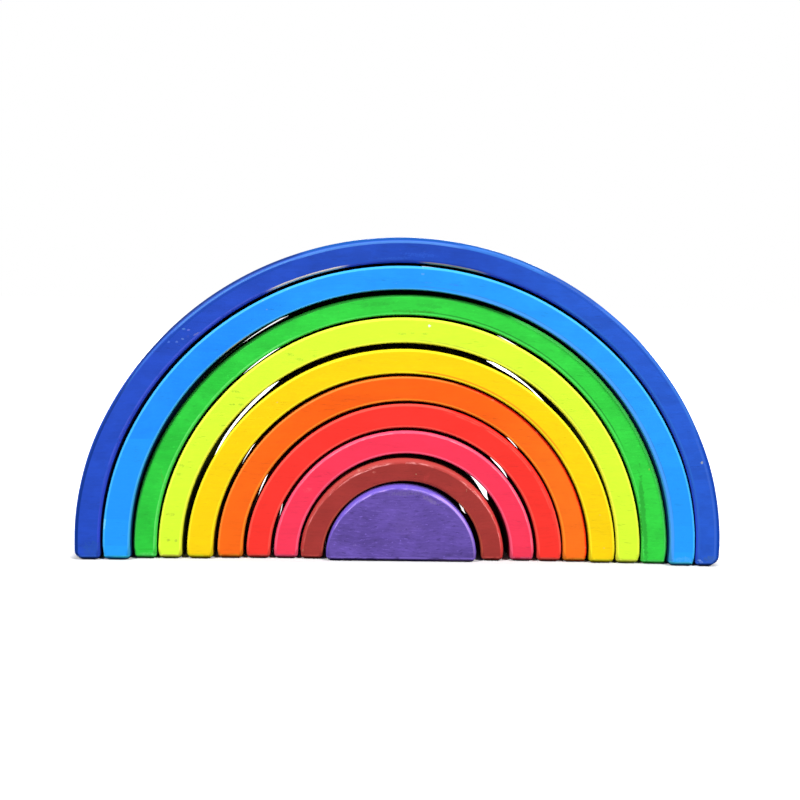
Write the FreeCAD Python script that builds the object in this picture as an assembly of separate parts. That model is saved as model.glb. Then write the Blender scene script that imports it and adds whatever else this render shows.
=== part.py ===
import FreeCAD, Part
import math
import os

# A wooden rainbow stacker: a solid half disc with nine arches nested over it, each cut from a board
# and rounded along its edges. Every arch lifts off the one inside it.
# X runs from left to right, Y from front to back and Z up. All feet stand at Z = 0, and the origin
# is on the floor below the middle of the whole row.

# Driving dimensions, in millimetres
depth = 65.0
core_half_width = 41.6
core_height = 43.0
play = 1.8
stagger = 4.0
upright = 4.0
edge_round = 2.5

# Wall of each arch, measured square to its curve
maroon_wall = 12.8
pink_wall = 13.0
red_wall = 13.2
orange_wall = 13.6
yellow_wall = 13.9
lime_wall = 13.1
green_wall = 12.5
light_blue_wall = 13.7
dark_blue_wall = 13.4

core = "purple_half_disc"

# The arches from the inside out
walls = {
    "maroon_arch": maroon_wall,
    "pink_arch": pink_wall,
    "red_arch": red_wall,
    "orange_arch": orange_wall,
    "yellow_arch": yellow_wall,
    "lime_arch": lime_wall,
    "green_arch": green_wall,
    "light_blue_arch": light_blue_wall,
    "dark_blue_arch": dark_blue_wall,
}

# Hand-cut arches aren't even: the wall at the left foot, the crown and the right foot, as shares of
# the arch's own wall
wall_shares = {
    "maroon_arch": (0.99, 0.99, 0.98),
    "pink_arch": (1.02, 0.97, 1.01),
    "red_arch": (0.99, 0.99, 1.02),
    "orange_arch": (1.02, 1.01, 0.97),
    "yellow_arch": (1.02, 0.96, 1.02),
    "lime_arch": (0.97, 1.05, 0.99),
    "green_arch": (0.99, 0.89, 1.12),
    "light_blue_arch": (1.06, 0.93, 1.01),
    "dark_blue_arch": (1.03, 1.00, 0.98),
}

# Gap to the piece inside at the left foot, the crown and the right foot, as shares of the play
gap_shares = {
    "maroon_arch": (0.80, 0.85, 1.62),
    "pink_arch": (0.78, 1.53, 2.10),
    "red_arch": (1.12, 1.02, 1.07),
    "orange_arch": (1.06, 0.89, 0.54),
    "yellow_arch": (1.30, 0.74, 0.66),
    "lime_arch": (1.54, 1.86, 0.47),
    "green_arch": (0.47, 0.78, 0.55),
    "light_blue_arch": (0.77, 1.29, 0.47),
    "dark_blue_arch": (0.92, 0.91, 0.47),
}

# How far the crown stands to the right of the middle of the feet, as a share of the play
lean_shares = {
    core: -0.33,
    "maroon_arch": 0.32,
    "pink_arch": 0.23,
    "red_arch": 0.46,
    "orange_arch": 0.24,
    "yellow_arch": -0.04,
    "lime_arch": 0.59,
    "green_arch": 0.77,
    "light_blue_arch": -0.02,
    "dark_blue_arch": 0.18,
}

# Straight length of each leg above its rounded foot, as a share of the upright: a longer leg makes
# fuller haunches
upright_shares = {
    core: 0.12,
    "maroon_arch": 0.12,
    "pink_arch": 0.12,
    "red_arch": 0.12,
    "orange_arch": 0.41,
    "yellow_arch": 0.16,
    "lime_arch": 0.52,
    "green_arch": 1.13,
    "light_blue_arch": 1.42,
    "dark_blue_arch": 1.55,
}

# How far each piece stands back from the core's front, as a share of the stagger
set_back_shares = {
    core: 0.00,
    "maroon_arch": 0.85,
    "pink_arch": 0.95,
    "red_arch": 0.85,
    "orange_arch": 0.74,
    "yellow_arch": 0.30,
    "lime_arch": 0.24,
    "green_arch": 0.08,
    "light_blue_arch": -0.79,
    "dark_blue_arch": -0.88,
}

# Edge rounding of a piece that isn't rounded like the rest, as a share of the edge round
round_shares = {"dark_blue_arch": 1.2}

# Flats that make up the rounding of an edge
round_flats = 1

# How far the arcs may rise above a leg, as a share of how far they reach out
rise_share = 0.98

# Radius of the haunch, as a share of how far the arcs rise above the leg
haunch_share = 0.9


def rim_round(name):
    """Radius of the rounding round a piece's edges."""
    return edge_round * round_shares.get(name, 1)


def grow(span, steps, size):
    """The left foot, crown height and right foot of a line, moved outward by shares of a size."""
    left, top, right = span
    return (left - steps[0] * size, top + steps[1] * size, right + steps[2] * size)


def nest():
    """The inner and outer span of every arch, worked out from the core outward."""
    spans = {core: (None, (-core_half_width, core_height, core_half_width))}
    outside = spans[core][1]
    for name, wall in walls.items():
        inside = grow(outside, gap_shares[name], play)
        outside = grow(inside, wall_shares[name], wall)
        spans[name] = (inside, outside)
    return spans


def round_off(radius):
    """Corners of the flats that round off an edge, each as its distances in from the two faces.

    The flats turn by equal steps and touch a quarter round of the radius.
    """
    turn = math.pi / 2 / (round_flats + 1)
    reach = radius / math.cos(turn / 2)
    corners = []
    for step in range(round_flats + 1):
        angle = (step + 0.5) * turn
        corners.append((radius - reach * math.cos(angle), radius - reach * math.sin(angle)))
    return corners


def side_line(foot_x, crown_x, top, leg, foot):
    """One side of an arch line: a straight leg, then a haunch arc that runs into a wider crown arc.

    The leg starts at the foot's rounded corner, and is longer where the line stands taller than it
    reaches out. The haunch starts upright and the crown arc ends level, so both sides of the line
    meet without a corner.
    """
    reach = abs(foot_x - crown_x)
    leg = max(leg, top - rise_share * reach)
    rise = top - leg
    toward = (foot_x - crown_x) / reach
    haunch = haunch_share * rise
    haunch_x = reach - haunch
    crown = (haunch_x ** 2 + rise ** 2 - haunch ** 2) / (2 * (rise - haunch))
    crown_z = top - crown
    meet = math.atan2(leg - crown_z, haunch_x)

    def on_arc(centre_x, centre_z, radius, angle):
        x = centre_x + radius * math.cos(angle)
        return FreeCAD.Vector(crown_x + toward * x, 0, centre_z + radius * math.sin(angle))

    knee = FreeCAD.Vector(foot_x, 0, leg)
    shoulder = on_arc(0, crown_z, crown, meet)
    halfway = on_arc(0, crown_z, crown, (meet + math.pi / 2) / 2)
    return [
        Part.makeLine(FreeCAD.Vector(foot_x, 0, foot), knee),
        Part.Arc(knee, on_arc(haunch_x, leg, haunch, meet / 2), shoulder).toShape(),
        Part.Arc(shoulder, halfway, FreeCAD.Vector(crown_x, 0, top)).toShape(),
    ]


def arch_line(name, span):
    """The line that runs from one foot's corner over the crown to the other foot."""
    left, top, right = span
    crown_x = (left + right) / 2 + lean_shares[name] * play
    radius = rim_round(name)
    leg = radius + upright_shares[name] * upright
    foot = round_off(radius)[0][1]
    return side_line(left, crown_x, top, leg, foot) + side_line(right, crown_x, top, leg, foot)


def foot_line(name, left, right):
    """The underside of a foot, with its two corners rounded off."""
    corners = round_off(rim_round(name))
    points = [FreeCAD.Vector(left + inset, 0, height) for inset, height in corners]
    points += [FreeCAD.Vector(right - inset, 0, height) for inset, height in reversed(corners)]
    return [Part.makeLine(start, end) for start, end in zip(points, points[1:])]


def outline(name, inside, outside):
    """The closed line of a piece: an arch on two feet, or a half disc where there is no inside."""
    edges = arch_line(name, outside)
    if inside is None:
        edges += foot_line(name, outside[0], outside[2])
    else:
        edges += arch_line(name, inside)
        edges += foot_line(name, outside[0], inside[0])
        edges += foot_line(name, inside[2], outside[2])
    return Part.Wire(Part.__sortEdges__(edges))


def piece(name, inside, outside):
    """One piece of wood, lofted from its front to its back, with both rims rounded off."""
    wire = outline(name, inside, outside)
    corners = round_off(rim_round(name))
    lines = [wire.makeOffset2D(-inset) for _, inset in corners[:-1]] + [wire]
    stations = [(line, sunk) for line, (sunk, _) in zip(lines, corners)]
    front = [line.translated(FreeCAD.Vector(0, sunk, 0)) for line, sunk in stations]
    back = [line.translated(FreeCAD.Vector(0, depth - sunk, 0)) for line, sunk in reversed(stations)]
    return Part.makeLoft(front + back, True, True)


def main():
    os.makedirs("parts", exist_ok=True)
    spans = nest()
    left, _, right = spans["dark_blue_arch"][1]
    set_backs = {name: share * stagger for name, share in set_back_shares.items()}
    middle_x = (left + right) / 2
    middle_y = (min(set_backs.values()) + max(set_backs.values()) + depth) / 2
    for name, (inside, outside) in spans.items():
        solid = piece(name, inside, outside)
        solid.translate(FreeCAD.Vector(-middle_x, set_backs[name] - middle_y, 0))
        solid.exportStep("parts/" + name + ".step")
        box = solid.BoundBox
        print(name, "valid", solid.isValid(), "width %.1f height %.1f" % (box.XLength, box.ZMax))


main()
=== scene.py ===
import math
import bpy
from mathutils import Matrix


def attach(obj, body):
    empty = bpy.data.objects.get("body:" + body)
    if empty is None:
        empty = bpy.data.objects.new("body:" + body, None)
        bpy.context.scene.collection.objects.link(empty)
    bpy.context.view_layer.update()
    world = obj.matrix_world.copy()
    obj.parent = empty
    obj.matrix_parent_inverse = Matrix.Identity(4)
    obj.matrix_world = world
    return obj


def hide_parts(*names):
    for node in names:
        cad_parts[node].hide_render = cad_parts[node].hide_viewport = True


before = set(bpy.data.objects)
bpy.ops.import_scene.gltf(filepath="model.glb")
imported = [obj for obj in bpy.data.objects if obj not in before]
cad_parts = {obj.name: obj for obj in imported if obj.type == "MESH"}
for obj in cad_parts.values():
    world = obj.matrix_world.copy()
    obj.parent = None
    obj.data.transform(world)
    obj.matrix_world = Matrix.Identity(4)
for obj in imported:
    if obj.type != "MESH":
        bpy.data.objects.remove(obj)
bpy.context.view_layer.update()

from types import SimpleNamespace

import bmesh
import bpy
import numpy as np
from mathutils import Matrix, Vector

# The wooden rainbow stacker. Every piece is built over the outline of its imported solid, with round
# rims and feet, and gets a stained wood of its own. Sizes are metres unless a name says millimetres,
# and colours are sRGB out of 255.

MM = 0.001

# The pieces from the inside out
ORDER = [
    "purple_half_disc", "maroon_arch", "pink_arch", "red_arch", "orange_arch", "yellow_arch",
    "lime_arch", "green_arch", "light_blue_arch", "dark_blue_arch",
]

# Seed of the first piece. Each further one adds 1.
FIRST_SEED = 1.7

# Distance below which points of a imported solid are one, and below which two levels are the same, and
# the decimals to which depths are read
WELD = 1e-6
SAME = 1e-5
LEVEL_DIGITS = 5

# A foot's corner in a solid is a flat at 45 degrees: how far its two legs may differ, the least size
# of one, and how far above its arc the next point of the outline must stand
CORNER_UNEVEN = 0.0002
LEAST_CORNER = 0.0008
ARC_CLEAR = 0.0003

# Steps of the quarter rounds of a rim and of a foot's corner
RIM_STEPS = 5
FOOT_STEPS = 6

# Spans of the outline that differ by less than this ratio lie on a curve. Longer ones are straight
# and get points this far apart.
CURVE_RATIO = 2.2
STRAIGHT_STEP = 0.004

# Rings on the flat face beside a rim, as distances in from the side
FACE_INSETS = (0.0036, 0.0040, 0.0044)

# Narrow strip beside the rounding on which the surface turns flat, and how strongly flat faces lead
# the shading there
BLEND_WIDTH = 0.0005
FLAT_WEIGHT = 80

# Rings closer than this are one, where an outline drawn in meets itself at a foot
RING_WELD = 1e-7

# x of the middle round which the angles along the arches are measured
ARCH_CENTRE = 0.0007

# Waves by which a rim's rounding is uneven: share of the radius, rate along the outline in radians
# per metre, and how far the piece's seed turns the wave
WAVERS = ((0.10, 61, 1.0), (0.07, 143, 2.3))

# Height over which the feet stay true and the walls above them begin to waver
STEADY_FOOT = (0.004, 0.012)

# The edges under a foot are rounded further than the rims, and more so towards the floor
FOOT_RIM = 0.0029
FOOT_RIM_HEIGHT = (0.0006, 0.0060)
FOOT_RIM_DEPTH = 2.0

# Rim rounding on the inside of an arch, as a share of that on its outside
INNER_SHARE = 0.62

# Angles round the arch, in degrees, at which light comes through the gap to the next piece outward,
# how far it is open there, and how far the opening leans to the outer piece. Elsewhere the sawn walls
# swell past each other and close the view.
OPEN_ANGLES = {
    "purple_half_disc": [(29, 40, 1.0, 0.0)],
    "maroon_arch": [(28, 53, 0.86, -0.6)],
    "pink_arch": [(160, 171, 0.52, 0.3), (32, 49, 0.56, 0.0)],
    "red_arch": [(151, 168, 0.45, 0.4), (40, 48, 0.50, 0.0)],
    "orange_arch": [(144, 158, 0.34, 0.4)],
    "yellow_arch": [(125, 157, 0.55, 0.0), (46, 67, 0.57, 0.6), (28, 52, 0.62, -0.2)],
    "lime_arch": [(120, 153, 0.54, 0.5), (49, 68, 0.62, 0.0)],
    "green_arch": [(114, 146, 0.52, 1.0)],
    "light_blue_arch": [(66, 88, 1.0, 0.0)],
}
OPENING_STEEPNESS = 1.8

# Share of a gap that one wall's swelling takes and the most that it may, the heights over which it
# begins, where in the depth each wall's is thickest and how far from there it ends, the rings that
# draw it, and the widest gap that it closes
SWELL_SHARE = 0.62
MOST_SWELL = 0.90
SWELL_FOOT = (0.0005, 0.0040)
SWELL_PLACES = {"outer": 0.44, "inner": 0.62}
SWELL_SPAN = 0.16
SWELL_ROWS = (0.28, 0.36, 0.44, 0.53, 0.62, 0.70, 0.78)
WIDEST_CLOSED_GAP = 0.004


def linear(colour):
    """An sRGB colour out of 255 as the linear colour that a shader takes."""
    shares = [c / 255 for c in colour]
    return tuple(
        s / 12.92 if s <= 0.04045 else ((s + 0.055) / 1.055) ** 2.4 for s in shares
    ) + (1.0,)


def changed(colour, share, added=0):
    """A colour made darker or lighter by a share and an addition."""
    return tuple(min(255, c * share + added) for c in colour)


def smooth(value, low, high):
    """0 below low, 1 above high, smooth between."""
    t = np.clip((value - low) / (high - low), 0, 1)
    return t * t * (3 - 2 * t)


# Outlines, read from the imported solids


def loop_of(node):
    """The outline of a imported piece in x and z, counterclockwise, and its front and back y."""
    mesh = bmesh.new()
    mesh.from_mesh(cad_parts[node].data)
    bmesh.ops.remove_doubles(mesh, verts=mesh.verts, dist=WELD)
    depths = [round(v.co.y, LEVEL_DIGITS) for v in mesh.verts]
    front, level, _, back = sorted(sorted(set(depths), key=depths.count)[-4:])
    on = {v for v in mesh.verts if abs(v.co.y - level) < SAME}
    links = {
        v: [e.other_vert(v) for e in v.link_edges if e.other_vert(v) in on] for v in on
    }
    start = max(on, key=lambda v: v.co.z)
    loop = [start]
    before, here = None, start
    while True:
        after = [v for v in links[here] if v is not before][0]
        if after is start:
            break
        loop.append(after)
        before, here = here, after
    points = np.array([(v.co.x, v.co.z) for v in loop])
    mesh.free()
    area = 0.5 * np.sum(
        points[:, 0] * np.roll(points[:, 1], -1) - points[:, 1] * np.roll(points[:, 0], -1)
    )
    return (points if area > 0 else points[::-1]), front, back


def feet_rounded(points, radii):
    """The outline with each cut corner of a foot turned into an arc, and the corner's leg for each
    point of such an arc. The radii are those of the corners that face the middle, the left corner
    outside and the right one."""
    to_middle, outside_left, outside_right = radii
    result = []
    legs = []
    count = len(points)
    index = 0
    while index < count:
        here, after = points[index], points[(index + 1) % count]
        run, drop = abs(after - here)
        cut = abs(run - drop) < CORNER_UNEVEN and min(run, drop) > LEAST_CORNER
        if cut and min(here[1], after[1]) < SAME:
            leg, foot = (here, after) if after[1] < here[1] else (after, here)
            inward = 1 if foot[0] > leg[0] else -1
            outside = outside_left if leg[0] < 0 else outside_right
            radius = to_middle if leg[0] * inward > 0 else outside
            arc = []
            for step in range(FOOT_STEPS + 1):
                angle = math.pi / 2 * step / FOOT_STEPS
                arc.append((
                    leg[0] + inward * radius * (1 - math.cos(angle)),
                    radius * (1 - math.sin(angle)),
                ))
            result += arc if after[1] < here[1] else arc[::-1]
            legs += [(leg[0], inward, radius)] * len(arc)
            index += 2
            continue
        if here[1] < SAME or here[1] > max(radii) + ARC_CLEAR:
            result.append(tuple(here))
            legs.append(None)
        index += 1
    return np.array(result), legs


def refined(points, legs):
    """The outline with twice the points, new ones set on the curve through their neighbours."""
    count = len(points)
    result = []
    corners = []
    for index in range(count):
        a, b, c, d = (points[(index + k) % count] for k in (-1, 0, 1, 2))
        result.append(b)
        corners.append(legs[index])
        if legs[index] and legs[(index + 1) % count]:
            continue
        spans = [np.linalg.norm(b - a), np.linalg.norm(c - b), np.linalg.norm(d - c)]
        if max(spans) < CURVE_RATIO * min(spans):
            new = [(9 * (b + c) - a - d) / 16]
        else:
            parts = max(1, round(spans[1] / STRAIGHT_STEP))
            new = [b + (c - b) * k / parts for k in range(1, parts)]
        result += new
        corners += [None] * len(new)
    return np.array(result), corners


def inward_normals(points):
    """Unit normals that point into the wood, for an outline that runs counterclockwise."""
    step = np.roll(points, -1, 0) - np.roll(points, 1, 0)
    normals = np.stack([-step[:, 1], step[:, 0]], 1)
    return normals / np.linalg.norm(normals, axis=1)[:, None]


def outline_of(node, foot_rounds):
    """What the meshes and the woods need to know of a piece's outline."""
    loop, front, back = loop_of(node)
    points, legs = refined(*feet_rounded(loop, foot_rounds))
    normals = inward_normals(points)
    outside = np.sum(normals * (points - [ARCH_CENTRE, 0]), 1) < 0
    return SimpleNamespace(
        points=points, legs=legs, normals=normals, outside=outside, front=front, back=back,
    )


# Meshes of the pieces


def drawn_in(outline, size):
    """The outline drawn in by size, with the feet's corners kept from folding over."""
    points = outline.points
    row = points + outline.normals * size[:, None]
    for index, leg in enumerate(outline.legs):
        if leg and size[index] >= leg[2]:
            row[index] = (leg[0] + leg[1] * size[index], size[index])
        elif points[index][1] > SAME:
            row[index][1] = max(row[index][1], size[index])
    return row


def swelling(node, outlines):
    """How far each point of the wall swells towards its neighbour to close the gap's view."""
    points, outside = outlines[node].points, outlines[node].outside
    angle = np.degrees(np.arctan2(points[:, 1], points[:, 0] - ARCH_CENTRE))
    place = ORDER.index(node)
    swell = np.zeros(len(points))
    for other, inner, side in ((place + 1, place, outside), (place - 1, place - 1, ~outside)):
        if not 0 <= other < len(ORDER):
            continue
        across = points[:, None] - outlines[ORDER[other]].points[None]
        gap = np.minimum(np.sqrt((across ** 2).sum(2)).min(1), WIDEST_CLOSED_GAP)
        share = np.full(len(points), SWELL_SHARE)
        for low, high, opened, lean in OPEN_ANGLES[ORDER[inner]]:
            off_centre = (2 * angle - low - high) / (high - low)
            window = np.clip(OPENING_STEEPNESS * (1 - off_centre ** 2), 0, 1)
            leaning = 1 + lean * window * (1 if place == inner else -1)
            share = np.minimum(share * (1 - opened * window) * leaning, MOST_SWELL)
        swell += np.where(side, share * gap, 0)
    return swell * smooth(points[:, 1], *SWELL_FOOT)


def rim_radii(outline, along, rim_round, seed):
    """Rounding of the rim at each point, as its reach in from the side and its depth."""
    waver = sum(share * np.sin(along * rate + turn * seed) for share, rate, turn in WAVERS)
    height = outline.points[:, 1]
    radius = np.where(outline.outside, rim_round, INNER_SHARE * rim_round)
    radius *= 1 + waver * smooth(height, *STEADY_FOOT)
    low = 1 - smooth(height, *FOOT_RIM_HEIGHT)
    radius += low * (FOOT_RIM - radius)
    return radius, radius * (1 + low * (FOOT_RIM_DEPTH - 1))


def wood_piece(node, outlines, rim_round, seed):
    """A mesh over the piece's outline, its rims rounded by a hand that wasn't quite even."""
    outline = outlines[node]
    points, outside = outline.points, outline.outside
    front, back = outline.front, outline.back
    lengths = np.linalg.norm(np.roll(points, -1, 0) - points, axis=1)
    along = np.concatenate([[0], np.cumsum(lengths)[:-1]])
    radius, reach = rim_radii(outline, along, rim_round, seed)
    none = np.zeros(len(points))

    # Each row holds its points' distance in from the side and depth behind the face
    clear = rim_round + 2 * BLEND_WIDTH
    rows = [(none + size, none) for size in reversed(FACE_INSETS) if size > clear]
    rows.append((radius + BLEND_WIDTH, none))
    for step in range(RIM_STEPS + 1):
        angle = math.pi / 2 * step / RIM_STEPS
        rows.append((radius * (1 - math.sin(angle)), reach * (1 - math.cos(angle))))
    rows.append((none, reach + BLEND_WIDTH))

    swell = swelling(node, outlines)
    thick = back - front
    middle = []
    for share in SWELL_ROWS:
        peak = {
            side: max(0, 1 - abs(share - place) / SWELL_SPAN)
            for side, place in SWELL_PLACES.items()
        }
        height = np.where(outside, peak["outer"], peak["inner"])
        middle.append((points - outline.normals * (swell * height)[:, None], share * thick))

    # Each ring holds its points' x and z, their y, and the same two distances
    rings = [(drawn_in(outline, size), front + sunk, size, sunk) for size, sunk in rows]
    rings += [(row, none + front + y, none, none + thick / 2) for row, y in middle]
    rings += [(drawn_in(outline, size), back - sunk, size, sunk) for size, sunk in reversed(rows)]

    count = len(points)
    verts = [(x, y, z) for row, ys, _, _ in rings for (x, z), y in zip(row, ys)]
    faces = [
        (ring * count + index, (ring + 1) * count + index,
         (ring + 1) * count + (index + 1) % count, ring * count + (index + 1) % count)
        for ring in range(len(rings) - 1) for index in range(count)
    ]
    faces.append(tuple(range(count)))
    faces.append(tuple(range(len(verts) - count, len(verts)))[::-1])

    mesh = bpy.data.meshes.new(node + "_wood")
    mesh.from_pydata(verts, [], faces)
    values = {
        "inset": np.concatenate([size for _, _, size, _ in rings]),
        "depth": np.concatenate([sunk for _, _, _, sunk in rings]),
        "outer": np.tile(outside.astype(float), len(rings)),
        "along": np.tile(along, len(rings)),
    }
    for name, value in values.items():
        attribute = mesh.attributes.new(name, "FLOAT", "POINT")
        attribute.data.foreach_set("value", value.astype(np.float32))
    welded = bmesh.new()
    welded.from_mesh(mesh)
    bmesh.ops.remove_doubles(welded, verts=welded.verts, dist=RING_WELD)
    welded.to_mesh(mesh)
    welded.free()
    for polygon in mesh.polygons:
        polygon.use_smooth = True
    piece = bpy.data.objects.new(node + "_wood", mesh)
    bpy.context.scene.collection.objects.link(piece)
    weighted = piece.modifiers.new("weighted", "WEIGHTED_NORMAL")
    weighted.weight = FLAT_WEIGHT
    return piece


# Shader nodes


class Graph:
    """A short way to write the nodes of a material or a world."""

    def __init__(self, owner):
        owner.use_nodes = True
        self.nodes = owner.node_tree.nodes
        self.links = owner.node_tree.links
        self.nodes.clear()

    def add(self, kind, settings=None, **inputs):
        """A node whose inputs are given by name, with spaces written as underscores."""
        node = self.nodes.new("ShaderNode" + kind)
        for key, value in (settings or {}).items():
            setattr(node, key, value)
        for key, value in inputs.items():
            self.feed(node.inputs[key.replace("_", " ")], value)
        return node

    def join(self, kind, *values):
        """The result of a node whose inputs are given by their order."""
        node = self.add(kind)
        for socket, value in zip(node.inputs, values):
            self.feed(socket, value)
        return node.outputs[0]

    def output(self, kind, shader):
        self.links.new(shader, self.add(kind).inputs[0])

    def feed(self, socket, value):
        if isinstance(value, bpy.types.NodeSocket):
            self.links.new(value, socket)
        else:
            socket.default_value = value

    def maths(self, operation, a, b=0.0):
        node = self.add("Math", {"operation": operation})
        self.feed(node.inputs[0], a)
        self.feed(node.inputs[1], b)
        return node.outputs[0]

    def product(self, *values):
        result = values[0]
        for value in values[1:]:
            result = self.maths("MULTIPLY", result, value)
        return result

    def ramp(self, value, low, high):
        """0 where value is at low, 1 at high, smooth between. Low may be the larger one."""
        node = self.add("MapRange", {"interpolation_type": "SMOOTHSTEP"}, Value=value)
        node.inputs["From Min"].default_value = min(low, high)
        node.inputs["From Max"].default_value = max(low, high)
        if low > high:
            node.inputs["To Min"].default_value = 1.0
            node.inputs["To Max"].default_value = 0.0
        return node.outputs[0]

    def blend(self, factor, a, b):
        """Colour a where the factor is 0, colour b where it is 1."""
        node = self.add("Mix", {"data_type": "RGBA"})
        self.feed(node.inputs[0], factor)
        self.feed(node.inputs[6], a)
        self.feed(node.inputs[7], b)
        return node.outputs[2]


# Stained wood

# Noises: scale, stretch along the three coordinates, detail and roughness
NOISES = {
    "sway": (1.0, (22, 30, 30), 2.0, 0.5),
    "long_grain": (1.0, (26, 520, 620), 4.0, 0.6),
    "short_grain": (1.0, (230, 900, 1000), 3.0, 0.65),
    "fibres": (1.0, (90, 1500, 1700), 3.0, 0.6),
    "growth": (1.0, (6, 60, 95), 2.0, 0.5),
    "patches": (38.0, (1, 1, 1), 3.0, 0.6),
    "blotches": (150.0, (0.6, 1, 1), 3.0, 0.6),
    "pores": (1.0, (170, 2100, 2100), 1.0, 0.5),
    "flecks": (1.0, (420, 900, 900), 2.0, 0.5),
    "bare_spots": (330.0, (1, 1, 1), 1.0, 0.4),
    "sawn": (1.0, (900, 0, 8), 2.0, 0.5),
    "drift": (1.0, (90, 500, 500), 3.0, 0.6),
    "breaks": (1.0, (150, 300, 300), 3.0, 0.6),
    "brushed": (1.0, (160, 2600, 2600), 4.0, 0.7),
    "rubbed_places": (1.0, (60, 60, 60), 2.0, 0.5),
    "chips": (240.0, (1, 1, 1), 4.0, 0.7),
    "ragged": (700.0, (1, 1, 1), 4.0, 0.7),
    "worn": (1100.0, (1, 1, 1), 2.0, 0.6),
}

# Values of its noise between which a layer goes from nothing to full
LAYERS = {
    "streaks": (0.32, 0.68),
    "patches": (0.35, 0.75),
    "blotches": (0.60, 0.40),
    "dark_growth": (0.45, 0.70),
    "coarse_growth": (0.42, 0.62),
    "pores": (0.66, 0.74),
    "pale_grain": (0.55, 0.72),
    "dark_grain": (0.45, 0.28),
    "flecks": (0.66, 0.74),
    "bare_spots": (0.80, 0.84),
    "saw_lines": (0.50, 0.68),
    "wall_grain": (0.50, 0.64),
    "breaks": (0.30, 0.55),
    "brushed": (0.43, 0.60),
    "rubbed_places": (0.40, 0.60),
    "chips": (0.64, 0.73),
    "worn": (0.30, 0.60),
}

# The middle value of a noise, how far a piece's seed moves its noises, and how far those move that
# are the same for all the pieces
NOISE_MIDDLE = 0.5
SEED_SHIFT = (0.37, 0.11, 0.23)
NO_SHIFT = (0, 0, 0)

# Changes to a piece's colour: a share and an addition
DARK = (0.62, 0)
LIGHT = (1.10, 10)
PORE = (0.42, 0)
GLINT = (1.35, 25)

# How far the grain wavers from the straight, and the shares of long grain and fibres in the streaks
SWAY = 0.012
LONG_SHARE = 0.55
FIBRE_SHARE = 0.45

# Strengths of the blotches and the dark growth as shares of the mottle, of the boards, of the saw
# lines and the grain on the walls, and how much calmer the walls are than the faces
BLOTCH_SHARE = 0.5
GROWTH_SHARE = 0.6
BOARD_STRENGTH = 0.55
SAW_STRENGTH = 0.16
WALL_GRAIN_STRENGTH = 0.26
WALL_CALM = 0.7

# Share of the outer side over which the inside of an arch turns into its outside, and the depths
# behind the face over which the wall begins and the face's paint ends
SIDE_TURN = (0.4, 0.6)
WALL_DEPTH = (0.0012, 0.0026)
FACE_DEPTH = (0.0036, 0.0020)

# Distances from the middle over which a piece takes on its tones, and its rim the right one's colour
TONE_REACH = (0.03, 0.10)
RIGHT_REACH = (0.02, 0.06)

# Half the height over which one glued board turns into the next
BOARD_BLUR = 0.0002

# Strength of the painted shade on the walls inside and outside an arch. The outermost wall gets none.
INNER_WALL_SHADE = 0.88
OUTER_WALL_SHADE = 0.3

# Heights between which a rim's band widens, as shares of the crown's, and shares of its width: where
# it ends, where its crest is brushed, and by how much its edge drifts
BAND_HEIGHT_SHARES = (0.25, 0.85)
BAND_END = (1.12, 0.88)
CREST = (0.45, 0.85)
DRIFT_SHARE = 0.5

# Heights of a painted highlight low on the front of the feet, and how strong it is
GLINT_FOOT = (0.0011, 0.0017)
GLINT_TOP = (0.0033, 0.0024)
FOOT_GLINT = 0.8

# Height at which the brushing of a crest begins
BRUSHED_HEIGHT = (0.006, 0.014)

# How softly a painted line's sides and ends fade, in millimetres
LINE_BLUR = 0.2
LINE_FADE = 5

# How deep a mark reaches into the wood, where its edge lies and how ragged that is
MARK_DEPTH = 0.006
MARK_EDGE = (1.15, 0.75)
MARK_RAG = 2.2

# Lines and marks weaker than this are broken up
FAINT = 0.7

BARE_WOOD = (214, 190, 150)

# The surface: its relief in metres with each part's share, its roughness with the shares that the
# streaks add and the rims take, and its shine
RELIEF = 0.0002
RELIEF_STRENGTH = 0.30
STREAK_RELIEF = -0.4
SAW_RELIEF = 0.8
BLOTCH_RELIEF = 0.8
ROUGHNESS = 0.50
STREAK_ROUGHNESS = 0.16
RIM_POLISH = 0.08
SPECULAR = 0.15

# A piece's look where PIECES doesn't give its own. Widths, board heights and the places and sizes of
# marks and lines are millimetres. The outer band is band_width wide at the crown and foot_width at
# the feet. Tones are the colours at the left and right. A board is the height below which it lies
# and the change to its colour. A line runs along an edge from one x to another, at a distance in
# from the side and with a half width, and has a colour and a strength. A mark has a place and half
# sizes in x and z, a colour, a strength and a tilt in degrees.
USUAL_LOOK = dict(
    tones=(), streaks=0.12, dashes=0.25, mottle=0.10, specks=0.15, tooth=0.08, wear=0.25, boards=(),
    wall_shade=0.36, inner_band=None, right_band=None, rubbed=None, band_width=1.3, inner_width=None,
    foot_width=None, band_strength=0.65, lines=(), marks=(),
)


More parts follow.
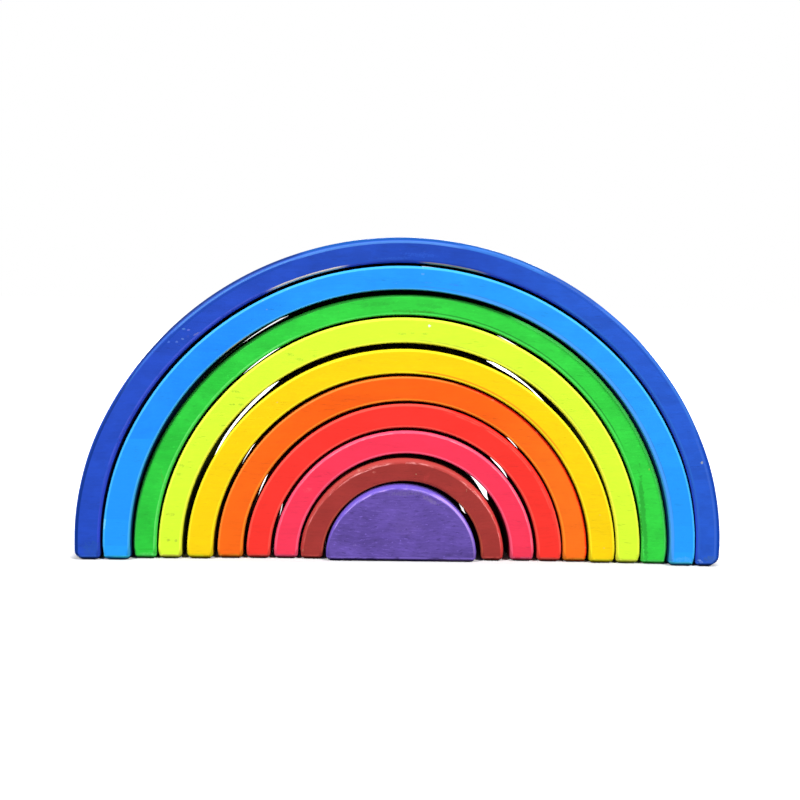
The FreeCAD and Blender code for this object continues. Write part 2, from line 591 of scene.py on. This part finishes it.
class Wood(Graph):
    """Wood under a thin coloured stain, grain along x; rims paler by thin stain and painted highlight.
    """

    def __init__(self, material, outline, seed, look):
        super().__init__(material)
        self.outline = outline
        self.look = look
        self.shift = tuple(seed * share for share in SEED_SHIFT)
        self.where = self.add("TexCoord").outputs["Object"]
        self.x, _, self.z = self.add("SeparateXYZ", Vector=self.where).outputs
        self.inset = self.attribute("inset")
        self.depth = self.attribute("depth")
        self.outer = self.ramp(self.attribute("outer"), *SIDE_TURN)
        self.curve = self.join("CombineXYZ", self.attribute("along"), self.inset, self.depth)
        self.laid = self.swayed()
        self.wall = self.ramp(self.depth, *WALL_DEPTH)
        self.near_face = self.ramp(self.depth, *FACE_DEPTH)
        self.broken = self.layer("breaks", self.noise("breaks", self.curve))
        self.long_grain = self.noise("long_grain", self.laid)
        self.blotches = self.noise("blotches", self.where)
        self.sawn = self.noise("sawn", self.curve)
        self.dark = changed(look.colour, *DARK)
        self.light = changed(look.colour, *LIGHT)
        self.colour = linear(look.colour)

    def attribute(self, name):
        return self.add("Attribute", {"attribute_name": name}).outputs["Fac"]

    def noise(self, name, where, shift=None):
        scale, stretch, detail, rough = NOISES[name]
        placed = self.add("Mapping", Vector=where, Scale=stretch, Location=shift or self.shift)
        texture = self.add(
            "TexNoise", Vector=placed.outputs[0], Scale=scale, Detail=detail, Roughness=rough,
        )
        return texture.outputs["Fac"]

    def layer(self, name, noise):
        """How strongly a layer shows, by the noise that places it."""
        return self.ramp(noise, *LAYERS[name])

    def swayed(self):
        """The object's coordinates, moved so that the grain wavers a little from the straight."""
        sway = self.maths("SUBTRACT", self.noise("sway", self.where), NOISE_MIDDLE)
        laid = self.add("VectorMath", {"operation": "ADD"})
        self.feed(laid.inputs[0], self.where)
        self.feed(laid.inputs[1], self.add("CombineXYZ", Z=self.product(sway, SWAY)).outputs[0])
        return laid.outputs[0]

    def paint(self, colour, *shares):
        """Lays a colour over the wood, as strongly as the product of the shares."""
        over = linear(colour) if isinstance(colour, tuple) else colour
        self.colour = self.blend(self.product(*shares), self.colour, over)

    def stain(self):
        """The faces: side tones as painted light, streaks, patches and the boards glued up for the
        piece.
        """
        look = self.look
        fibres = self.product(self.noise("fibres", self.laid), FIBRE_SHARE)
        streaks = self.maths("ADD", self.product(self.long_grain, LONG_SHARE), fibres)
        self.streaks = self.layer("streaks", streaks)
        self.growth = self.noise("growth", self.where)
        patches = self.layer("patches", self.noise("patches", self.where))
        blotches = self.layer("blotches", self.blotches)
        growth = self.layer("dark_growth", self.growth)
        even = self.maths("SUBTRACT", 1.0, self.product(self.wall, WALL_CALM))
        # Painted shading: the right side of a face lighter than the left
        for side, colour in zip((-1, 1), look.tones):
            self.paint(colour, self.ramp(self.x, side * TONE_REACH[0], side * TONE_REACH[1]))
        self.paint(self.dark, self.streaks, look.streaks)
        self.paint(self.light, patches, look.mottle, even)
        self.paint(self.dark, blotches, look.mottle * BLOTCH_SHARE, even)
        self.paint(self.dark, growth, look.mottle * GROWTH_SHARE, even)
        for height, change in look.boards:
            below = self.ramp(self.z, height * MM + BOARD_BLUR, height * MM - BOARD_BLUR)
            self.paint(changed(look.colour, change), below, BOARD_STRENGTH, even)

    def open_grain(self):
        """Pores where the wood is coarser, short fibres, flecks and a few bare spots."""
        look = self.look
        pores = self.layer("pores", self.noise("pores", self.laid))
        self.pores = self.product(pores, self.layer("coarse_growth", self.growth))
        self.paint(changed(look.colour, *PORE), self.pores, look.dashes)
        short = self.noise("short_grain", self.laid)
        self.paint(self.light, self.layer("pale_grain", short), look.tooth)
        self.paint(self.dark, self.layer("dark_grain", short), look.tooth)
        flecks = self.layer("flecks", self.noise("flecks", self.laid))
        self.paint(self.light, flecks, look.specks)
        spots = self.layer("bare_spots", self.noise("bare_spots", self.where))
        self.paint(BARE_WOOD, spots, look.wear)

    def shade_walls(self, outer_shade):
        """Painted shade on the sawn walls, strongest where they line the gaps, and the saw's lines."""
        shade_and_saw_colour = changed(self.look.colour, self.look.wall_shade)
        shade_share = self.maths("ADD", INNER_WALL_SHADE, self.product(self.outer, outer_shade - INNER_WALL_SHADE))
        # Painted shade: the walls darkened so that the gaps between the pieces look dark
        self.paint(shade_and_saw_colour, self.wall, shade_share)
        saw_lines = self.layer("saw_lines", self.sawn)
        self.paint(shade_and_saw_colour, saw_lines, self.wall, self.outer, SAW_STRENGTH)
        grain = self.layer("wall_grain", self.long_grain)
        self.paint(self.light, grain, self.wall, self.outer, WALL_GRAIN_STRENGTH)

    def pale_rims(self):
        """Rim bands of thinner stain and painted highlight, wider at the crown and unevenly wide."""
        look = self.look
        edge = linear(look.band)
        if look.right_band:
            edge = self.blend(self.ramp(self.x, *RIGHT_REACH), edge, linear(look.right_band))
        edge = self.blend(self.outer, linear(look.inner_band or look.band), edge)
        crown = self.outline.points[:, 1].max()
        climb = self.ramp(self.z, *(share * crown for share in BAND_HEIGHT_SHARES))
        foot, top = (look.foot_width or look.band_width) * MM, look.band_width * MM
        wide = self.add("Mix")
        self.feed(wide.inputs[0], self.outer)
        self.feed(wide.inputs[2], (look.inner_width or look.band_width) * MM)
        self.feed(wide.inputs[3], self.maths("ADD", foot, self.product(climb, top - foot)))
        drift = self.maths("SUBTRACT", self.noise("drift", self.curve), NOISE_MIDDLE)
        reach = self.maths("DIVIDE", self.inset, wide.outputs[0])
        self.reach = self.maths("ADD", reach, self.product(drift, DRIFT_SHARE))
        self.rim = self.product(self.ramp(self.reach, *BAND_END), self.near_face)
        # Painted highlight, together with thinner stain, in a band along each rim
        self.paint(edge, self.rim, look.band_strength)

    def draw_lines(self):
        """Thin lines along the edges: thicker or thinner stain, and painted shade and light."""
        sides = {"outer": self.outer, "inner": self.maths("SUBTRACT", 1.0, self.outer)}
        for side, (from_x, to_x), (place, half), colour, strength in self.look.lines:
            off_line = self.maths("ABSOLUTE", self.maths("SUBTRACT", self.inset, place * MM))
            here = self.ramp(off_line, (half + LINE_BLUR) * MM, max(half - LINE_BLUR, 0) * MM)
            ends = self.product(
                self.ramp(self.x, (from_x - LINE_FADE) * MM, (from_x + LINE_FADE) * MM),
                self.ramp(self.x, (to_x + LINE_FADE) * MM, (to_x - LINE_FADE) * MM),
            )
            whole = self.broken if strength < FAINT else 1.0
            self.paint(colour, here, ends, sides[side], self.near_face, whole, strength)

    def rub_edges(self):
        """Brushed crests, a painted highlight along the bottom of the feet and chipped rims."""
        look = self.look
        if look.rubbed:
            brushed = self.layer("brushed", self.noise("brushed", self.curve))
            patchy = self.layer("rubbed_places", self.noise("rubbed_places", self.curve))
            crest = self.product(self.ramp(self.reach, *CREST), self.rim, self.outer)
            crest = self.product(crest, self.ramp(self.z, *BRUSHED_HEIGHT))
            self.paint(look.rubbed, brushed, patchy, crest)
        # Painted highlight: a lighter strip low on the front of each foot
        strip = self.product(self.ramp(self.z, *GLINT_FOOT), self.ramp(self.z, *GLINT_TOP))
        glint = changed(look.colour, *GLINT)
        self.paint(glint, strip, self.near_face, self.broken, FOOT_GLINT)
        chipped = self.layer("chips", self.noise("chips", self.where))
        self.paint(BARE_WOOD, chipped, self.rim, look.wear)

    def spot(self, centre, size, tilt, ragged):
        """1 inside a small ellipsoid round a place, fading at a ragged edge."""
        moved = self.add("Mapping", Vector=self.where, Location=tuple(-c for c in centre))
        turned = self.add("Mapping", Vector=moved.outputs[0], Rotation=(0, math.radians(tilt), 0))
        scaled = self.add("Mapping", Vector=turned.outputs[0], Scale=tuple(1 / s for s in size))
        reach = self.add("VectorMath", {"operation": "LENGTH"})
        self.feed(reach.inputs[0], scaled.outputs[0])
        return self.ramp(self.maths("ADD", reach.outputs["Value"], ragged), *MARK_EDGE)

    def draw_marks(self):
        """Single marks on the front."""
        ragged = self.noise("ragged", self.where, NO_SHIFT)
        ragged = self.product(self.maths("SUBTRACT", ragged, NOISE_MIDDLE), MARK_RAG)
        worn = self.layer("worn", self.noise("worn", self.where, NO_SHIFT))
        for (x, z), (half_x, half_z), colour, strength, tilt in self.look.marks:
            centre = (x * MM, self.outline.front, z * MM)
            size = (half_x * MM, MARK_DEPTH, half_z * MM)
            spot = self.spot(centre, size, tilt, ragged)
            self.paint(colour, spot, worn if strength < FAINT else 1.0, strength)

    def surface(self):
        """Raised grain on the faces, faint saw lines across the walls, and a dull shine."""
        relief = self.maths("SUBTRACT", self.product(self.streaks, STREAK_RELIEF), self.pores)
        relief = self.maths("ADD", relief, self.product(self.sawn, self.wall, SAW_RELIEF))
        relief = self.maths("ADD", relief, self.product(self.blotches, BLOTCH_RELIEF))
        bump = self.add("Bump", Height=relief, Strength=RELIEF_STRENGTH, Distance=RELIEF)
        rough = self.maths("ADD", ROUGHNESS, self.product(self.streaks, STREAK_ROUGHNESS))
        rough = self.maths("SUBTRACT", rough, self.product(self.rim, RIM_POLISH))
        shader = self.add(
            "BsdfPrincipled", Base_Color=self.colour, Roughness=rough, Normal=bump.outputs[0],
            Specular_IOR_Level=SPECULAR,
        )
        self.output("OutputMaterial", shader.outputs[0])


def stained_wood(node, outline, seed, look):
    """The wood of one piece, its layers laid from the bare board outward."""
    material = bpy.data.materials.new(node + "_stain")
    wood = Wood(material, outline, seed, look)
    wood.stain()
    wood.open_grain()
    wood.shade_walls(0.0 if node == ORDER[-1] else OUTER_WALL_SHADE)
    wood.pale_rims()
    wood.draw_lines()
    wood.rub_edges()
    wood.draw_marks()
    wood.surface()
    return material


# What each piece looks like: its wood, and in metres the rounding of its rims and feet's corners
PIECES = {
    "purple_half_disc": dict(
        rim_round=0.0024, foot_rounds=(0.0026, 0.0026, 0.0026),
        colour=(102, 80, 170), band=(118, 96, 218), rubbed=(190, 158, 242), band_width=2.2,
        foot_width=1.0, band_strength=0.7, streaks=0.30, dashes=0.4, mottle=0.42, specks=0.9, tooth=0.6,
        lines=[("outer", (19, 40), (1.1, 0.55), (194, 154, 244), 0.85)],
        marks=[
            ((3, 38.6), (10, 1.5), (118, 104, 160), 0.45, 3),
            ((16, 35.0), (5, 1.2), (136, 120, 166), 0.45, -28),
            ((-13, 28.4), (3.2, 0.5), (118, 97, 184), 0.45, -8),
            ((-16, 31.5), (4.0, 0.5), (114, 92, 182), 0.45, 25),
            ((4, 20), (8, 5), (108, 86, 160), 0.25, 0),
            ((-9, 13.6), (2.4, 0.6), (84, 64, 148), 0.5, 0),
            ((-25, 9.5), (0.9, 0.8), (126, 106, 186), 0.45, 0),
        ],
    ),
    "maroon_arch": dict(
        rim_round=0.0023, foot_rounds=(0.0024, 0.0024, 0.0024),
        colour=(162, 54, 50), band=(190, 68, 64), right_band=(220, 66, 64), inner_band=(196, 84, 62),
        rubbed=(250, 160, 158), band_width=2.8, foot_width=1.7, inner_width=1.1, band_strength=0.9,
        wear=0.45, mottle=0.18, tooth=0.2,
        marks=[
            ((-22.8, 50.0), (2.2, 0.9), (206, 110, 100), 0.5, -20),
            ((-15, 49.5), (1.0, 0.6), (210, 120, 110), 0.5, 0),
            ((14, 47.0), (1.2, 3.0), (186, 62, 60), 0.4, -30),
        ],
    ),
    "pink_arch": dict(
        rim_round=0.0015, foot_rounds=(0.0022, 0.0022, 0.0022),
        colour=(254, 57, 88), band=(255, 101, 135), rubbed=(255, 150, 170), band_width=1.4, mottle=0.12,
        marks=[((-51, 39), (2.2, 1.4), (255, 105, 120), 0.25, 0)],
    ),
    "red_arch": dict(
        rim_round=0.0014, foot_rounds=(0.0022, 0.0022, 0.0022),
        colour=(254, 54, 46), band=(255, 92, 78), mottle=0.12,
        lines=[
            ("outer", (26, 84), (0.4, 0.6), (255, 24, 14), 0.8),
            ("outer", (26, 84), (2.1, 0.4), (255, 96, 84), 0.6),
        ],
    ),
    "orange_arch": dict(
        rim_round=0.0014, foot_rounds=(0.0022, 0.0022, 0.0022),
        colour=(254, 98, 16), band=(255, 146, 52), right_band=(255, 66, 18), inner_band=(255, 150, 44),
        mottle=0.14, tones=((254, 108, 22), (255, 118, 28)),
        lines=[("outer", (30, 108), (0.3, 0.6), (252, 34, 8), 0.85)],
    ),
    "yellow_arch": dict(
        rim_round=0.0014, foot_rounds=(0.0022, 0.0026, 0.0024),
        colour=(254, 212, 10), band=(255, 242, 40), streaks=0.07, mottle=0.08, dashes=0.15,
        lines=[("inner", (8, 88), (1.6, 0.5), (242, 152, 16), 0.85)],
    ),
    "lime_arch": dict(
        rim_round=0.0014, foot_rounds=(0.0024, 0.0022, 0.0024),
        colour=(219, 254, 54), band=(254, 252, 76), streaks=0.06, mottle=0.06, dashes=0.30,
        wall_shade=0.22,
        lines=[
            ("inner", (8, 100), (1.8, 0.25), (190, 180, 70), 0.6),
            ("inner", (48, 74), (0.2, 0.35), (150, 172, 30), 0.8),
        ],
        marks=[
            ((-1.4, 125.8), (2.4, 0.55), (176, 204, 50), 0.6, 0),
            ((4.5, 126.4), (1.2, 0.55), (180, 208, 52), 0.6, 0),
            ((10.9, 126.0), (2.0, 0.55), (176, 204, 50), 0.6, 0),
            ((-61.4, 113.4), (2.2, 0.7), (160, 192, 48), 0.6, 0),
            ((-56.0, 110.8), (2.6, 0.8), (172, 204, 48), 0.55, -8),
            ((-48.0, 113.1), (1.4, 0.6), (170, 200, 48), 0.55, 0),
            ((-90.9, 93.0), (2.6, 0.7), (166, 198, 48), 0.6, -8),
            ((-88.0, 89.5), (3.2, 0.5), (176, 206, 48), 0.5, -8),
            ((-92.4, 85.9), (1.6, 0.6), (150, 184, 46), 0.6, 0),
            ((-87.6, 85.9), (1.5, 0.6), (160, 190, 46), 0.6, 0),
            ((-97.6, 74.3), (1.8, 0.6), (172, 204, 48), 0.55, 0),
            ((-120.1, 52.2), (2.4, 0.8), (176, 208, 50), 0.65, -4),
            ((-121.2, 47.2), (1.2, 0.8), (170, 204, 50), 0.6, 0),
            ((-125.6, 25.1), (2.6, 0.8), (180, 208, 50), 0.65, 0),
            ((-126.7, 10.7), (1.0, 0.8), (160, 190, 50), 0.69, 0),
            ((-122.7, 10.6), (0.9, 0.9), (164, 196, 60), 0.69, 0),
            ((13.5, 130.4), (0.8, 0.7), (255, 255, 240), 1.0, 0),
        ],
    ),
    "green_arch": dict(
        rim_round=0.0014, foot_rounds=(0.0022, 0.0026, 0.0020),
        colour=(52, 213, 66), band=(84, 232, 94), mottle=0.26, streaks=0.12, specks=0.35,
        tones=((44, 200, 60), (52, 213, 66)), tooth=0.22,
        lines=[
            ("inner", (8, 120), (2.0, 0.25), (34, 104, 40), 0.75),
            # Painted highlight: a bright thin line on the inner rim at the left
            ("inner", (-150, -60), (1.3, 0.25), (120, 236, 120), 0.6),
            # Painted shadow cast by the light blue arch on the outer rim
            ("outer", (-140, 56), (0.3, 1.0), (14, 110, 28), 0.8),
            # Painted light that lifts the outer rim at the right out of that shadow
            ("outer", (60, 160), (0.8, 0.9), (96, 255, 112), 0.8),
        ],
        marks=[
            ((134.3, 27), (1.5, 26), (44, 166, 52), 0.85, 7),
            ((136.3, 53.8), (0.4, 0.5), (150, 200, 80), 0.8, 0),
            ((-129.5, 44), (0.5, 6), (86, 180, 60), 0.5, 12),
            ((-138, 5.6), (5.5, 0.5), (40, 176, 50), 0.6, 0),
            ((-16, 141.5), (9, 1.3), (44, 172, 54), 0.5, 4),
            ((14, 141.0), (7, 1.1), (44, 172, 54), 0.5, -4),
            ((4, 137.9), (12, 0.8), (62, 128, 30), 0.5, 0),
            ((-138, 3.2), (5.0, 0.8), (104, 232, 110), 0.6, 0),
        ],
    ),
    "light_blue_arch": dict(
        rim_round=0.0014, foot_rounds=(0.0026, 0.0024, 0.0018),
        colour=(34, 152, 254), band=(76, 202, 255), inner_band=(84, 190, 255), mottle=0.16, streaks=0.07,
        inner_width=1.0, tones=((30, 140, 254), (38, 156, 253)),
        lines=[
            ("inner", (30, 175), (1.0, 1.0), (74, 156, 246), 0.75),
            ("inner", (8, 150), (2.2, 0.2), (60, 110, 190), 0.6),
            # Painted highlight: a bright cyan line on the inner rim at the left
            ("inner", (-170, -100), (0.3, 0.4), (70, 180, 255), 0.9),
            # Painted light: a pale line where light shows through the gap
            ("inner", (-96, -84), (0.0, 0.35), (255, 232, 214), 1.0),
        ],
        boards=((67.0, 1.03), (55.7, 0.97), (22.9, 1.03), (8.3, 1.08)),
        marks=[
            ((8.9, 158.0), (0.8, 0.6), (110, 170, 255), 0.6, 0),
            ((-157.0, 50), (0.7, 6.5), (110, 214, 255), 0.8, -14),
            ((-160.5, 20), (0.7, 3.5), (120, 220, 255), 0.8, -6),
            ((141, 3), (1.4, 1.0), (150, 215, 255), 0.7, 0),
            ((156.5, 3.4), (6.0, 2.2), (90, 176, 255), 0.5, 0),
            ((26, 152.5), (3.5, 0.5), (50, 130, 240), 0.6, -8),
            ((12, 153.5), (2.5, 0.4), (60, 140, 245), 0.6, 0),
        ],
    ),
    "dark_blue_arch": dict(
        rim_round=0.0024, foot_rounds=(0.0024, 0.0044, 0.0054),
        colour=(30, 72, 184), band=(34, 84, 198), inner_band=(62, 84, 216),
        tones=((36, 76, 196), (38, 92, 208)),
        band_width=2.6, foot_width=1.2, inner_width=1.0, band_strength=0.75, mottle=0.24, wear=0.02,
        lines=[
            # Painted shade on the outermost rim and painted highlight lines inside it
            ("outer", (-185, -142), (1.7, 0.75), (2, 46, 132), 0.9),
            ("outer", (-142, -55), (0.4, 0.9), (4, 46, 116), 0.9),
            ("outer", (-55, 78), (0.5, 0.8), (14, 84, 164), 0.9),
            ("outer", (-148, -122), (2.1, 0.4), (54, 108, 206), 0.7),
            ("outer", (-122, -58), (2.3, 0.45), (84, 140, 222), 0.9),
            ("outer", (-58, 30), (2.4, 0.7), (78, 134, 222), 0.9),
            ("outer", (30, 75), (1.9, 1.0), (56, 122, 216), 0.85),
            ("outer", (75, 104), (1.0, 0.9), (38, 88, 172), 0.8),
            ("outer", (104, 162), (1.3, 0.9), (52, 112, 206), 0.8),
            ("outer", (-130, -60), (3.7, 0.6), (20, 66, 168), 0.7),
            ("outer", (80, 140), (2.7, 0.6), (26, 78, 182), 0.7),
            ("outer", (160, 185), (1.35, 0.65), (2, 62, 168), 0.9),
            ("outer", (160, 185), (3.1, 0.5), (58, 102, 206), 0.7),
            # Painted highlight: a faint lighter line on the inner rim at the left
            ("inner", (-160, -70), (1.4, 0.4), (78, 96, 220), 0.6),
            ("inner", (80, 165), (1.0, 0.8), (44, 104, 206), 0.7),
            ("inner", (10, 41), (0.2, 0.6), (255, 220, 166), 0.95),
            # Painted light: a pale line where light shows through the gap at the left
            ("inner", (-71, -34), (0.6, 0.62), (255, 244, 232), 1.0),
        ],
        marks=[
            ((-117.7, 126.4), (0.9, 0.5), (84, 128, 206), 0.75, 0),
            ((-115.1, 125.9), (0.7, 0.5), (96, 112, 214), 0.75, 0),
            ((-110.9, 123.9), (1.6, 0.4), (104, 112, 186), 0.75, 30),
            ((-118.3, 121.1), (0.7, 0.5), (90, 124, 206), 0.75, 0),
            ((-125.6, 119.4), (0.7, 0.6), (78, 116, 214), 0.75, 0),
            ((-121.4, 119.5), (0.7, 0.6), (84, 116, 206), 0.75, 0),
            ((164.3, 58.7), (0.9, 0.7), (150, 160, 175), 0.9, 0),
            ((171.5, 4.9), (3.8, 1.8), (62, 98, 150), 0.55, 0),
            ((166.2, 3.4), (1.5, 0.7), (140, 180, 250), 0.65, -30),
            ((-165.5, 6.0), (6.5, 4.5), (42, 86, 170), 0.5, 0),
            ((8, 168), (9, 1.2), (44, 92, 204), 0.4, -3),
            ((-6, 166.0), (8, 0.9), (44, 90, 196), 0.4, 3),
        ],
    ),
}

looks = {node: SimpleNamespace(**{**USUAL_LOOK, **look}) for node, look in PIECES.items()}
outlines = {node: outline_of(node, look.foot_rounds) for node, look in looks.items()}

for number, (node, look) in enumerate(looks.items()):
    seed = number + FIRST_SEED
    piece = wood_piece(node, outlines, look.rim_round, seed)
    piece.data.materials.append(stained_wood(node, outlines[node], seed, look))
    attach(piece, "core" if node == ORDER[0] else node.replace("_arch", ""))
    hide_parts(node)


# Stage: a pale floor, a white room and soft lamps

WHITE = (1, 1, 1, 1)

# The floor's left, front, right and back edges
FLOOR_EDGES = (-6, -6, 6, 9)

# Half the width and half the depth of the part of the floor that the pieces stand on
FOOTPRINT = (0.176, 0.034)

# The floor's glow beside the pieces and farther off: the distances over which it grows, and how far
GLOWS = (((0.0, 0.009), 0.66), ((0.1, 1.2), 0.34))

# The floor as the pieces see it, and as the camera does
FLOOR_THROWN = (75, 75, 75)
FLOOR_SEEN = (243, 243, 243)

# The room's light on the pieces
ROOM_LIGHT = 0.06

# The lamps' places, sizes and powers, and the point that they light
LAMPS = {
    "left": ((-1.7, -2.0, 2.0), 0.7, 88),
    "right": ((1.7, -2.0, 2.0), 0.7, 90),
    "back": ((0.3, 2.2, 1.1), 0.9, 52),
}
LAMP_TARGET = (0, 0, 0.08)

# The photo's camera: its place, how far it is turned, tilted up from straight down and rolled, in
# degrees, its sensor and lens in millimetres, and how near and far it sees
CAMERA_PLACE = (-0.023093, -0.608085, 0.150632)
CAMERA_TURN = -2.1234
CAMERA_TILT = 90 - 6.0136
CAMERA_ROLL = 1.176
CAMERA_SENSOR = 36
CAMERA_LENS = 48.06
CAMERA_CLIP = (0.01, 50)


def floor_white():
    """White where the camera looks at it, with a glow that grows away from the pieces; plain grey for
    the light that it throws back."""
    material = bpy.data.materials.new("floor_white")
    g = Graph(material)
    camera_ray = g.add("LightPath").outputs["Is Camera Ray"]
    x, y, _ = g.add("SeparateXYZ", Vector=g.add("TexCoord").outputs["Object"]).outputs
    beside = [
        g.maths("MAXIMUM", g.maths("SUBTRACT", g.maths("ABSOLUTE", way), half), 0.0)
        for way, half in zip((x, y), FOOTPRINT)
    ]
    off = g.maths("SQRT", g.maths("ADD", *(g.product(way, way) for way in beside)))
    glow = g.maths("ADD", *(g.product(g.ramp(off, *reach), share) for reach, share in GLOWS))
    albedo = g.blend(camera_ray, linear(FLOOR_THROWN), linear(FLOOR_SEEN))
    plain = g.add("BsdfDiffuse", Color=albedo)
    shine = g.add("Emission", Color=WHITE, Strength=g.product(glow, camera_ray))
    g.output("OutputMaterial", g.join("AddShader", plain.outputs[0], shine.outputs[0]))
    return material


def white_room():
    """A dim room that looks pure white to the camera and in reflections."""
    world = bpy.data.worlds.new("studio")
    g = Graph(world)
    path = g.add("LightPath").outputs
    seen = g.maths("MAXIMUM", path["Is Camera Ray"], path["Is Transmission Ray"])
    seen = g.maths("MAXIMUM", seen, path["Is Glossy Ray"])
    room = g.add("Background", Color=WHITE, Strength=ROOM_LIGHT)
    backdrop = g.add("Background", Color=WHITE, Strength=1.0)
    g.output("OutputWorld", g.join("MixShader", seen, room.outputs[0], backdrop.outputs[0]))
    return world


def area_light(name, place, size, power):
    lamp = bpy.data.lights.new(name, "AREA")
    lamp.shape = "DISK"
    lamp.size = size
    lamp.energy = power
    holder = bpy.data.objects.new(name, lamp)
    holder.location = place
    aim = Vector(LAMP_TARGET) - Vector(place)
    holder.rotation_euler = aim.to_track_quat("-Z", "Y").to_euler()
    bpy.context.scene.collection.objects.link(holder)


def photo_camera():
    """The camera at the photo's angle, with everything sharp."""
    camera = bpy.data.cameras.new("camera")
    camera.sensor_width = CAMERA_SENSOR
    camera.lens = CAMERA_LENS
    camera.clip_start, camera.clip_end = CAMERA_CLIP
    holder = bpy.data.objects.new("camera", camera)
    turn = Matrix.Rotation(math.radians(CAMERA_TURN), 4, "Z")
    tilt = Matrix.Rotation(math.radians(CAMERA_TILT), 4, "X")
    roll = Matrix.Rotation(math.radians(CAMERA_ROLL), 4, "Z")
    holder.matrix_world = Matrix.Translation(CAMERA_PLACE) @ turn @ tilt @ roll
    bpy.context.scene.collection.objects.link(holder)
    return holder


left, near, right, far = FLOOR_EDGES
floor_mesh = bpy.data.meshes.new("floor")
floor_mesh.from_pydata(
    [(left, near, 0), (right, near, 0), (right, far, 0), (left, far, 0)], [], [(0, 1, 2, 3)],
)
floor = bpy.data.objects.new("floor", floor_mesh)
floor.data.materials.append(floor_white())

scene = bpy.context.scene
scene.view_settings.view_transform = "Standard"
scene.collection.objects.link(floor)
scene.world = white_room()
for name, (place, size, power) in LAMPS.items():
    area_light(name, place, size, power)
scene.camera = photo_camera()

bpy.context.view_layer.update()
